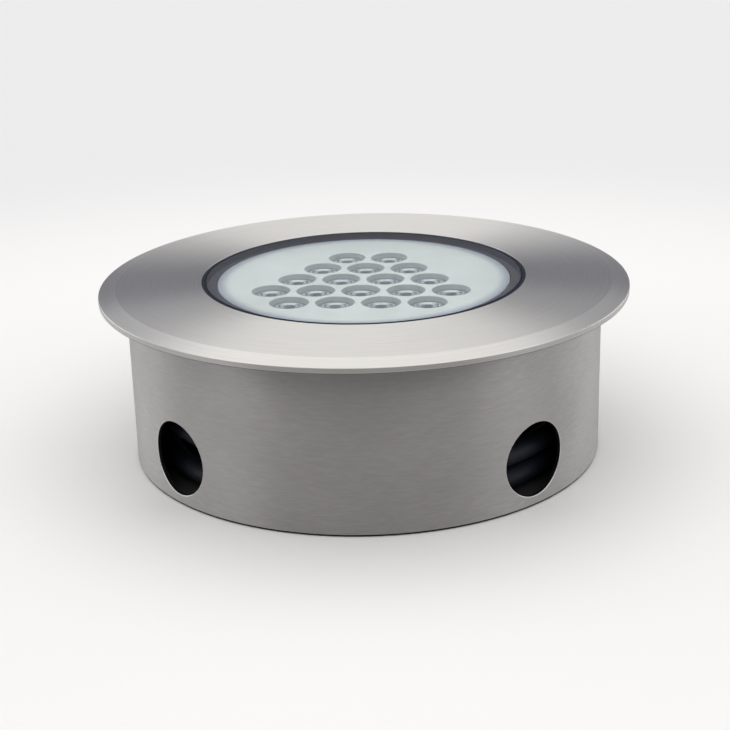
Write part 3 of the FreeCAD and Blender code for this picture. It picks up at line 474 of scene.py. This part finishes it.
def make_materials():
    """One material for each material slot of the record, and two for the edges of the sleeve.

    A number after a colour is a roughness.
    """
    plate_face = (0.905, 0.965, 0.965, 1.0)
    plate_walls_painted_shade = (0.57, 0.61, 0.62, 1.0)
    plate_painted_shade = (0.45, 0.47, 0.58, 1.0)
    return {
        "sleeve_steel": brushed_metal(
            "sleeve_steel", (0.402, 0.393, 0.387), 0.56, anisotropy=0.93, contrast=0.11, grain=BRUSHED_GRAIN,
        ),
        "face_steel": turned_face("face_steel", (0.75, 0.74, 0.72), anisotropy=0.92, contrast=0.05),
        # dark finish: the walls of the holes, and painted contact shadow at the foot
        "dark_edge_and_shadow": cast_metal("dark_edge_and_shadow", (0.03, 0.03, 0.032), 0.6),
        "smoothed_edge": cast_metal("smoothed_edge", (0.58, 0.57, 0.56), 0.3),
        "base_black": moulded("base_black", (0.03, 0.03, 0.032), 0.55),
        "window_glass": clear("window_glass", (0.98, 1.0, 0.995, 1.0), index=1.5, roughness=0.004),
        "black_seal": moulded("black_seal", (0.017, 0.021, 0.038), 0.75, shine=0.2),
        "white_plate": faced_plate("white_plate", plate_face, plate_walls_painted_shade, plate_painted_shade, 0.42),
        "lens_clear": mirror("lens_clear", (0.68, 0.73, 0.76, 1.0), 0.15),
        "emitter": moulded("emitter", (0.62, 0.56, 0.30), 0.3),
        "led_board": circuit_board("led_board", (0.75, 0.77, 0.77, 1.0), (0.62, 0.64, 0.64, 1.0)),
        "spreader_metal": cast_metal("spreader_metal", (0.72, 0.73, 0.74), 0.4),
        "can_steel": brushed_metal("can_steel", (0.5, 0.5, 0.495), 0.42, anisotropy=0.5, contrast=0.05),
        "spring_steel": cast_metal("spring_steel", (0.6, 0.6, 0.6), 0.3, grain=2600.0),
        "screw_steel": brushed_metal("screw_steel", (0.56, 0.56, 0.55), 0.32, anisotropy=0.3),
        "driver_board": circuit_board("driver_board", (0.02, 0.12, 0.05, 1.0), (0.05, 0.22, 0.10, 1.0)),
        "component_dark": moulded("component_dark", (0.04, 0.04, 0.045), 0.5),
        "capacitor_can": cast_metal("capacitor_can", (0.65, 0.66, 0.68), 0.3),
        "wire_insulation": moulded("wire_insulation", (0.35, 0.05, 0.05), 0.4),
        "gland_metal": cast_metal("gland_metal", (0.62, 0.6, 0.56), 0.3),
        "cable_jacket": moulded("cable_jacket", (0.007, 0.008, 0.013), 0.55, shine=0.2),
        "core_insulation": moulded("core_insulation", (0.5, 0.1, 0.08), 0.4),
        "core_copper": cast_metal("core_copper", (0.72, 0.42, 0.26), 0.35),
        "tie_nylon": moulded("tie_nylon", (0.025, 0.025, 0.027), 0.4),
    }


def new_mesh(name, points, faces, normals, paints):
    """Smooth mesh with its true normals, and the number of each face's material."""
    mesh = bpy.data.meshes.new(name)
    mesh.from_pydata(points, [], faces)
    mesh.shade_smooth()
    mesh.normals_split_custom_set_from_vertices(normals)
    mesh.polygons.foreach_set("material_index", paints)
    return mesh


def new_piece(name, data, body, node, place=(0, 0, 0)):
    """Piece that rides on a body and stands for a node, which it hides."""
    piece = bpy.data.objects.new(name, data)
    bpy.context.scene.collection.objects.link(piece)
    piece.location = place
    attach(piece, body)
    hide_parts(node)
    return piece


def rounded_outline(corners):
    """Closed outline of (radius, height, rounding) corners, anticlockwise, as points with their normals."""
    outline = []
    count = len(corners)
    for k in range(count):
        before = Vector(corners[k - 1][:2])
        corner = Vector(corners[k][:2])
        after = Vector(corners[(k + 1) % count][:2])
        rounding = corners[k][2]
        arriving = (corner - before).normalized()
        leaving = (after - corner).normalized()
        turn = math.atan2(arriving.x * leaving.y - arriving.y * leaving.x, arriving.dot(leaving))
        side = math.copysign(1, turn)
        normal = Vector((arriving.y, -arriving.x))
        reach = rounding * math.tan(abs(turn) / 2)
        centre = corner - arriving * reach - normal * (rounding * side)
        for step in range(ARC_STEPS + 1):
            facing = Matrix.Rotation(turn * step / ARC_STEPS, 2) @ normal
            outline.append((centre + facing * (rounding * side), facing))
    return outline


def solid_outline(corners):
    """Rounded outline of a piece with no bore, whose first and last corners are on the axis."""
    edge = [entry for entry in rounded_outline(corners) if entry[0].x > 0]
    below = (Vector(corners[0][:2]), Vector((0, -1)))
    above = (Vector(corners[-1][:2]), Vector((0, 1)))
    return [below] + edge + [above]


def turned_mesh(name, outline, segments=SEGMENTS, painted=()):
    """Surface of revolution about Z from points and normals. Painted bands take the second material."""
    points = []
    normals = []
    rings = []
    for place, facing in outline:
        on_axis = place.x < NEAR_AXIS
        turns = 1 if on_axis else segments
        rings.append([len(points) + k % turns for k in range(segments + 1)])
        for k in range(turns):
            angle = 2 * math.pi * k / segments
            out = Vector((math.cos(angle), math.sin(angle), 0))
            points.append(out * place.x + Vector((0, 0, place.y)))
            flat = 0 if on_axis else facing.x
            normals.append((out * flat + Vector((0, 0, facing.y))).normalized())
    faces = []
    paints = []
    for band, (ring, following) in enumerate(zip(rings, rings[1:] + rings[:1])):
        for k in range(segments):
            face = (ring[k], ring[k + 1], following[k + 1], following[k])
            unlike = list(dict.fromkeys(face))
            if len(unlike) > 2:
                faces.append(unlike)
                paints.append(1 if band in painted else 0)
    return new_mesh(name, points, faces, normals, paints)


def face_ring_outline():
    """Turned ring: hub, groove for the sleeve, rim, bevel with fine lines, crown, pocket and ledge."""
    low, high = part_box("face_ring")
    radius = high.x
    top = high.z
    bevel_top = top - CROWN_DROP
    bevel_start = radius - CROWN_BEVEL_WIDTH
    flange_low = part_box("sleeve")[1].z - REGISTER_DEPTH
    groove_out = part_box("sleeve")[1].x + REGISTER_PLAY
    groove_in = groove_out - SLEEVE_WALL - 2 * REGISTER_PLAY
    ledge_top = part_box("glass_seal")[0].z
    slope = (bevel_top - flange_low - RIM_THICKNESS) / CROWN_BEVEL_WIDTH
    corners = [
        (LEDGE_RADIUS, low.z, SOFT_EDGE),
        (HUB_RADIUS, low.z, SOFT_EDGE),
        (HUB_RADIUS, flange_low, SOFT_EDGE),
        (groove_in, flange_low, SOFT_EDGE),
        (groove_in, flange_low + REGISTER_DEPTH, SOFT_EDGE / 2),
        (groove_out, flange_low + REGISTER_DEPTH, SOFT_EDGE / 2),
        (groove_out, flange_low, SOFT_EDGE),
        (radius, flange_low, RIM_EDGE),
        (radius, flange_low + RIM_THICKNESS, RIM_EDGE),
    ]
    for line in reversed(LINE_RADII):
        height = bevel_top - slope * (line - bevel_start)
        away = slope * LINE_WIDTH / 2
        corners.append((line + LINE_WIDTH / 2, height - away, LINE_DEPTH / 2))
        corners.append((line, height - LINE_DEPTH, LINE_DEPTH / 2))
        corners.append((line - LINE_WIDTH / 2, height + away, LINE_DEPTH / 2))
    corners += [
        (bevel_start, bevel_top, SOFT_EDGE),
        (POCKET_RADIUS, top, SOFT_EDGE),
        (POCKET_RADIUS, ledge_top, SOFT_EDGE),
        (LEDGE_RADIUS, ledge_top, SOFT_EDGE),
    ]
    return rounded_outline(corners)


def make_face_ring(finishes):
    """The turned face ring."""
    mesh = turned_mesh("turned_face_ring", face_ring_outline())
    mesh.materials.append(finishes["face_steel"])
    new_piece("turned_face_ring", mesh, "lamp", "face_ring")


def glass_outline():
    """Flat disc with softened edges."""
    low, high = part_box("glass")
    return solid_outline([
        (0, low.z, 0),
        (high.x, low.z, GLASS_ARRIS / 2),
        (high.x, high.z, GLASS_ARRIS),
        (0, high.z, 0),
    ])


def make_window(finishes):
    """The glass, with its edge as black as the seal against it."""
    edge_bands = range(1, 2 * ARC_STEPS + 2)    # all but the lower and the upper face
    mesh = turned_mesh("window", glass_outline(), painted=edge_bands)
    mesh.materials.append(finishes["window_glass"])
    mesh.materials.append(finishes["black_seal"])
    new_piece("window", mesh, "lamp", "glass")


def seal_outline():
    """Seal with a flat leg under the glass and a thin lip round it."""
    low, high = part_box("glass_seal")
    glass_low, glass_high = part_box("glass")
    lip = glass_high.x + SEAL_PLAY
    leg_top = glass_low.z - SEAL_REST
    return rounded_outline([
        (LEDGE_RADIUS, low.z, SOFT_EDGE / 2),
        (high.x, low.z, SOFT_EDGE / 2),
        (high.x, high.z, SOFT_EDGE),
        (lip, high.z, SOFT_EDGE),
        (lip, leg_top, SOFT_EDGE / 4),
        (LEDGE_RADIUS, leg_top, SOFT_EDGE),
    ])


def make_seal(finishes):
    """The seal of the glass."""
    mesh = turned_mesh("window_seal", seal_outline())
    mesh.materials.append(finishes["black_seal"])
    new_piece("window_seal", mesh, "lamp", "glass_seal")


def lens_outline(height, radius):
    """Moulded lens: cavity over the emitter, foot, flared side, straight rim and a deep bowl with a neck."""
    bowl_low = height - LENS_BOWL_DEPTH
    return solid_outline([
        (0, LENS_CAVITY_TOP, 0),
        (LENS_CAVITY_RADIUS, LENS_CAVITY_WALL, SOFT_EDGE),
        (LENS_CAVITY_RADIUS, 0, SOFT_EDGE),
        (LENS_FOOT_RADIUS, 0, SOFT_EDGE),
        (radius, height - LENS_RIM, 2 * SOFT_EDGE),
        (radius, height, SOFT_EDGE),
        (LENS_BOWL_RADIUS, height, SOFT_EDGE / 2),
        (LENS_NECK_RADIUS, height - LENS_NECK_DEPTH, SOFT_EDGE),
        (LENS_BOWL_FLOOR, bowl_low, 4 * SOFT_EDGE),
        (0, bowl_low, 0),
    ])


def make_lenses(finishes):
    """The lenses, which share one mesh."""
    low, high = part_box("lens_01")
    outline = lens_outline(high.z - low.z, (high.x - low.x) / 2)
    mesh = turned_mesh("lens", outline, LENS_SEGMENTS)
    mesh.materials.append(finishes["lens_clear"])
    for number in range(1, LENS_COUNT + 1):
        node = f"lens_{number:02d}"
        low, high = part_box(node)
        place = ((low.x + high.x) / 2, (low.y + high.y) / 2, low.z)
        new_piece(f"moulded_{node}", mesh, "lamp", node, place)


class Weld:
    """Mesh that is laid in shares, each turned to its place, where a point laid twice is kept once."""

    def __init__(self):
        self.points = []
        self.normals = []
        self.faces = []
        self.paints = []
        self.known = {}
        self.spin = Matrix.Identity(3)

    def add(self, point, normal):
        """Number of the point, once it is turned to its place."""
        place = self.spin @ point
        key = tuple(round(value, WELD_DIGITS) for value in place)
        if key not in self.known:
            self.known[key] = len(self.points)
            self.points.append(place)
            self.normals.append((self.spin @ normal).normalized())
        return self.known[key]

    def bridge(self, rows, closed, paint=WALL_PAINT):
        """Faces between neighbouring rows of points."""
        for first, second in zip(rows, rows[1:]):
            count = len(first)
            for k in range(count if closed else count - 1):
                after = (k + 1) % count
                face = (first[k], first[after], second[after], second[k])
                self.faces.append(list(dict.fromkeys(face)))
                self.paints.append(paint)


def edge_profile(outer, inner, height, up, outer_round, inner_round):
    """Rounded edge of the tube, from its outer wall to its inner wall, as (radius, height, out, up)."""
    leans = [math.pi / 2 * step / ARC_STEPS for step in range(ARC_STEPS + 1)]
    profile = []
    for lean in leans:
        radius = outer - outer_round * (1 - math.cos(lean))
        level = height - up * outer_round * (1 - math.sin(lean))
        profile.append((radius, level, math.cos(lean), up * math.sin(lean)))
    for lean in reversed(leans):
        radius = inner + inner_round * (1 - math.cos(lean))
        level = height - up * inner_round * (1 - math.sin(lean))
        profile.append((radius, level, -math.cos(lean), up * math.sin(lean)))
    return profile


def hole_turns(outer):
    """Angles round a hole, from the one towards its share's lower right corner, as seen from outside."""
    shift = round(HOLE_POINTS * math.atan2(HOLE_HEIGHT, outer * HALF_SHARE) / (2 * math.pi))
    return [2 * math.pi * (k - shift) / HOLE_POINTS for k in range(HOLE_POINTS)]


def share_border(low, high):
    """Border of one hole's share of the wall, as (angle, height), from that corner and anticlockwise."""
    points = [(HALF_SHARE, low + (high - low) * k / SIDE_STEPS) for k in range(SIDE_STEPS)]
    points += [(HALF_SHARE - 2 * HALF_SHARE * k / TOP_STEPS, high) for k in range(TOP_STEPS)]
    points += [(-HALF_SHARE, high - (high - low) * k / SIDE_STEPS) for k in range(SIDE_STEPS)]
    points += [(-HALF_SHARE + 2 * HALF_SHARE * k / BOTTOM_STEPS, low) for k in range(BOTTOM_STEPS)]
    return points


def hole_row(weld, turns, radius, grow, outward, inward):
    """Row round a hole, at a radius of the wall, with the hole grown by a little."""
    row = []
    for turn in turns:
        aside = Vector((0, math.cos(turn), math.sin(turn)))
        y = aside.y * (HOLE_RADIUS + grow)
        out = Vector((math.sqrt(radius ** 2 - y ** 2), y, 0))
        place = out + Vector((0, 0, HOLE_HEIGHT + aside.z * (HOLE_RADIUS + grow)))
        row.append(weld.add(place, out.normalized() * outward - aside * inward))
    return row


def wall_rows(weld, turns, radius, outward, low, high):
    """Rows from a hole's edge to the border of its share of the wall."""
    rows = []
    border = share_border(low, high)
    for ring in range(1, WALL_RINGS + 1):
        even = ring / WALL_RINGS
        share = even * (1 - RING_CROWDING + RING_CROWDING * even)
        row = []
        for turn, (angle, height) in zip(turns, border):
            y = (HOLE_RADIUS + HOLE_EDGE) * math.cos(turn)
            z = HOLE_HEIGHT + (HOLE_RADIUS + HOLE_EDGE) * math.sin(turn)
            swing = math.asin(y / radius) * (1 - share) + angle * share
            out = Vector((math.cos(swing), math.sin(swing), 0))
            place = out * radius + Vector((0, 0, z * (1 - share) + height * share))
            row.append(weld.add(place, out * outward))
        rows.append(row)
    return rows


def rim_rows(weld, angles, profile):
    """Rows along the tube's upper or lower edge, from its inner wall to its outer wall."""
    rows = []
    for radius, height, lean_out, lean_up in profile:
        row = []
        for angle in angles:
            out = Vector((math.cos(angle), math.sin(angle), 0))
            normal = out * lean_out + Vector((0, 0, lean_up))
            row.append(weld.add(out * radius + Vector((0, 0, height)), normal))
        rows.append(row)
    return rows[::-1]


def sleeve_mesh():
    """Tube with cable holes that have softened edges, in one share of wall for each hole."""
    low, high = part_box("sleeve")
    outer = high.x
    inner = outer - SLEEVE_WALL
    turns = hole_turns(outer)
    # In the hole's profile, up is towards the hole's middle
    hole_edge = edge_profile(outer, inner, 0, 1, HOLE_EDGE, HOLE_EDGE)
    upper_edge = edge_profile(outer, inner, high.z, 1, SEAT_CHAMFER, SOFT_EDGE)
    lower_edge = edge_profile(outer, inner, low.z, -1, FOOT_EDGE, SOFT_EDGE)
    upper = [HALF_SHARE - 2 * HALF_SHARE * k / TOP_STEPS for k in range(TOP_STEPS + 1)]
    lower = [-HALF_SHARE + 2 * HALF_SHARE * k / BOTTOM_STEPS for k in range(BOTTOM_STEPS + 1)]
    weld = Weld()
    for hole in range(HOLE_COUNT):
        weld.spin = Matrix.Rotation(2 * math.pi * hole / HOLE_COUNT, 3, "Z")
        edge = []
        for radius, level, outward, inward in hole_edge:
            edge.append(hole_row(weld, turns, radius, -level, outward, inward))
        outside = wall_rows(weld, turns, outer, 1, low.z + FOOT_EDGE, high.z - SEAT_CHAMFER)
        inside = wall_rows(weld, turns, inner, -1, low.z + SOFT_EDGE, high.z - SOFT_EDGE)
        weld.bridge(outside[::-1] + edge[:1], True)
        weld.bridge(edge[:ARC_STEPS], True, SMOOTHED_PAINT)
        # the walls of the holes take the dark finish
        weld.bridge(edge[ARC_STEPS - 1:ARC_STEPS + 3], True, DARK_EDGE_PAINT)
        weld.bridge(edge[ARC_STEPS + 2:] + inside, True)
        weld.bridge(rim_rows(weld, upper, upper_edge), False)
        # painted contact shadow on the foot's rounded edge
        weld.bridge(rim_rows(weld, lower, lower_edge), False, DARK_EDGE_PAINT)
    return new_mesh("sleeve_tube", weld.points, weld.faces, weld.normals, weld.paints)


def make_sleeve(finishes):
    """The sleeve, with dark walls in its holes and painted contact shadow on the rounded edge of its foot.
    """
    mesh = sleeve_mesh()
    for finish in SLEEVE_FINISHES:
        mesh.materials.append(finishes[finish])
    new_piece("sleeve_tube", mesh, "sleeve", "sleeve")


def smooth_step(share):
    """A share from 0 to 1, level at both ends."""
    share = max(0, min(1, share))
    return share * share * (3 - 2 * share)


def turn_height(angle):
    """Height of the cable at an angle along its turns."""
    height = COIL_HEIGHT
    for start, end, rise in CLIMBS:
        height += rise * smooth_step((math.degrees(angle) - start) / (end - start))
    return height


def cable_points():
    """The spline's points: straight out of the gland, a falling bend, then the turns and a straight end."""
    bend_x = GLAND_OFFSET - LEAD_BEND
    bend_y = math.sqrt((COIL_RADIUS - LEAD_BEND) ** 2 - bend_x ** 2)
    join = math.atan2(bend_y, bend_x)
    fall = COIL_HEIGHT - GLAND_HEIGHT
    points = [
        Vector((GLAND_OFFSET, GLAND_OUTLET, GLAND_HEIGHT)),
        Vector((GLAND_OFFSET, (GLAND_OUTLET + bend_y) / 2, GLAND_HEIGHT)),
    ]
    bend_step = join / BEND_POINTS
    reach = LEAD_BEND / math.cos(bend_step / 2)
    for k in range(BEND_POINTS):
        angle = bend_step * (k + 0.5)
        height = GLAND_HEIGHT + fall * smooth_step(angle / (join - LEAD_LEVEL))
        points.append(Vector((bend_x + reach * math.cos(angle), bend_y + reach * math.sin(angle), height)))
    count = round(COIL_TURNS * TURN_POINTS)
    turn_step = 2 * math.pi * COIL_TURNS / count
    reach = COIL_RADIUS / math.cos(turn_step / 2)
    for k in range(count):
        angle = turn_step * (k + 0.5)
        place = join + angle
        points.append(Vector((reach * math.cos(place), reach * math.sin(place), turn_height(angle))))
    length = 2 * math.pi * COIL_TURNS
    last = join + length
    along = Vector((-math.sin(last), math.cos(last), 0))
    end = Vector((COIL_RADIUS * math.cos(last), COIL_RADIUS * math.sin(last), turn_height(length)))
    points += [end, end + along * CABLE_DIAMETER]
    spin = Matrix.Rotation(COIL_START - join, 3, "Z")
    return [spin @ point for point in points]


def make_cable(finishes):
    """The free cable as one round curve."""
    points = cable_points()
    curve = bpy.data.curves.new("cable", "CURVE")
    curve.dimensions = "3D"
    spline = curve.splines.new("NURBS")
    spline.points.add(len(points) - 1)
    for target, point in zip(spline.points, points):
        target.co = (*point, 1.0)
    spline.order_u = 3
    spline.use_endpoint_u = True
    spline.resolution_u = CABLE_STEPS
    curve.bevel_depth = CABLE_DIAMETER / 2
    curve.bevel_resolution = CABLE_ROUNDING
    curve.use_fill_caps = True
    curve.materials.append(finishes["cable_jacket"])
    cable = new_piece("cable", curve, "lamp", "cable_coil")


def make_camera():
    """Camera at the photograph's angle."""
    azimuth = Matrix.Rotation(math.radians(CAMERA_AZIMUTH), 3, "Z")
    elevation = math.radians(CAMERA_ELEVATION)
    away = azimuth @ Vector((0, -math.cos(elevation), math.sin(elevation)))
    level = azimuth @ Vector((1, 0, 0))
    rise = away.cross(level)
    roll = math.radians(CAMERA_ROLL)
    right = level * math.cos(roll) + rise * math.sin(roll)
    up = rise * math.cos(roll) - level * math.sin(roll)
    target = level * CAMERA_TARGET_SIDE + Vector((0, 0, CAMERA_TARGET_HEIGHT))
    data = bpy.data.cameras.new("camera")
    data.lens = CAMERA_LENS
    data.sensor_width = CAMERA_SENSOR
    camera = bpy.data.objects.new("camera", data)
    bpy.context.scene.collection.objects.link(camera)
    turn = Matrix((right, up, away)).transposed()
    camera.matrix_world = Matrix.Translation(target + away * CAMERA_DISTANCE) @ turn.to_4x4()
    bpy.context.scene.camera = camera


def make_sky():
    """Soft light from a sky that is dark low down and bright above, with lighter and darker patches."""
    world = bpy.data.worlds.new("sky")
    world.use_nodes = True
    tree = world.node_tree
    direction = add_node(tree, "TexCoord").outputs["Generated"]
    front = math.radians(CAMERA_AZIMUTH)
    lean = math.radians(SKY_LEAN)
    zenith = (math.sin(front) * math.sin(lean), -math.cos(front) * math.sin(lean), math.cos(lean))
    light = graded(tree, dot_product(tree, direction, zenith), SKY_STOPS, "EASE")
    for round_turn, elevation, core, whole, gain in SKY_PATCHES:
        turn = math.radians(CAMERA_AZIMUTH + round_turn)
        rise = math.radians(elevation)
        middle = (-math.sin(turn) * math.cos(rise), math.cos(turn) * math.cos(rise), math.sin(rise))
        nearness = dot_product(tree, direction, middle)
        border = math.cos(math.radians(whole))
        glow = eased(tree, nearness, border, math.cos(math.radians(core)), gain)
        light = join_vectors(tree, "ADD", light, glow)
    light = join_vectors(tree, "MAXIMUM", light, (SKY_LEAST, SKY_LEAST, SKY_LEAST))
    tree.links.new(light, tree.nodes["Background"].inputs["Color"])
    bpy.context.scene.world = world


def make_floor():
    """Pale matte floor, with painted light: paler near the object and darker far away."""
    half = FLOOR_SIZE / 2
    level = cad_box[0][2] - FLOOR_DROP
    corners = [(-half, -half, level), (half, -half, level), (half, half, level), (-half, half, level)]
    mesh = bpy.data.meshes.new("floor")
    mesh.from_pydata(corners, [], [(0, 1, 2, 3)])
    material, tree, shader = surface("floor", {"Roughness": 1.0, "Specular IOR Level": 0.0})
    # painted light: paler near the middle
    share = eased(tree, vector_length(tree, object_place(tree)), FLOOR_NEAR_REACH, FLOOR_FAR_REACH)
    tree.links.new(between(tree, share, FLOOR_NEAR, FLOOR_FAR), shader.inputs["Base Color"])
    mesh.materials.append(material)
    floor = bpy.data.objects.new("floor", mesh)
    bpy.context.scene.collection.objects.link(floor)


def dress_nodes(finishes):
    """Each node's finish, from its slot in the record."""
    for part in frame["record"]["subparts"]:
        node = frame["nodes"][part["node"]]
        node.data.materials.clear()
        node.data.materials.append(finishes[part["material_slot"]])


bpy.context.scene.view_settings.view_transform = "Standard"
make_camera()
make_sky()
make_floor()
materials = make_materials()
dress_nodes(materials)
make_cable(materials)
make_lenses(materials)
make_face_ring(materials)
make_window(materials)
make_seal(materials)
make_sleeve(materials)
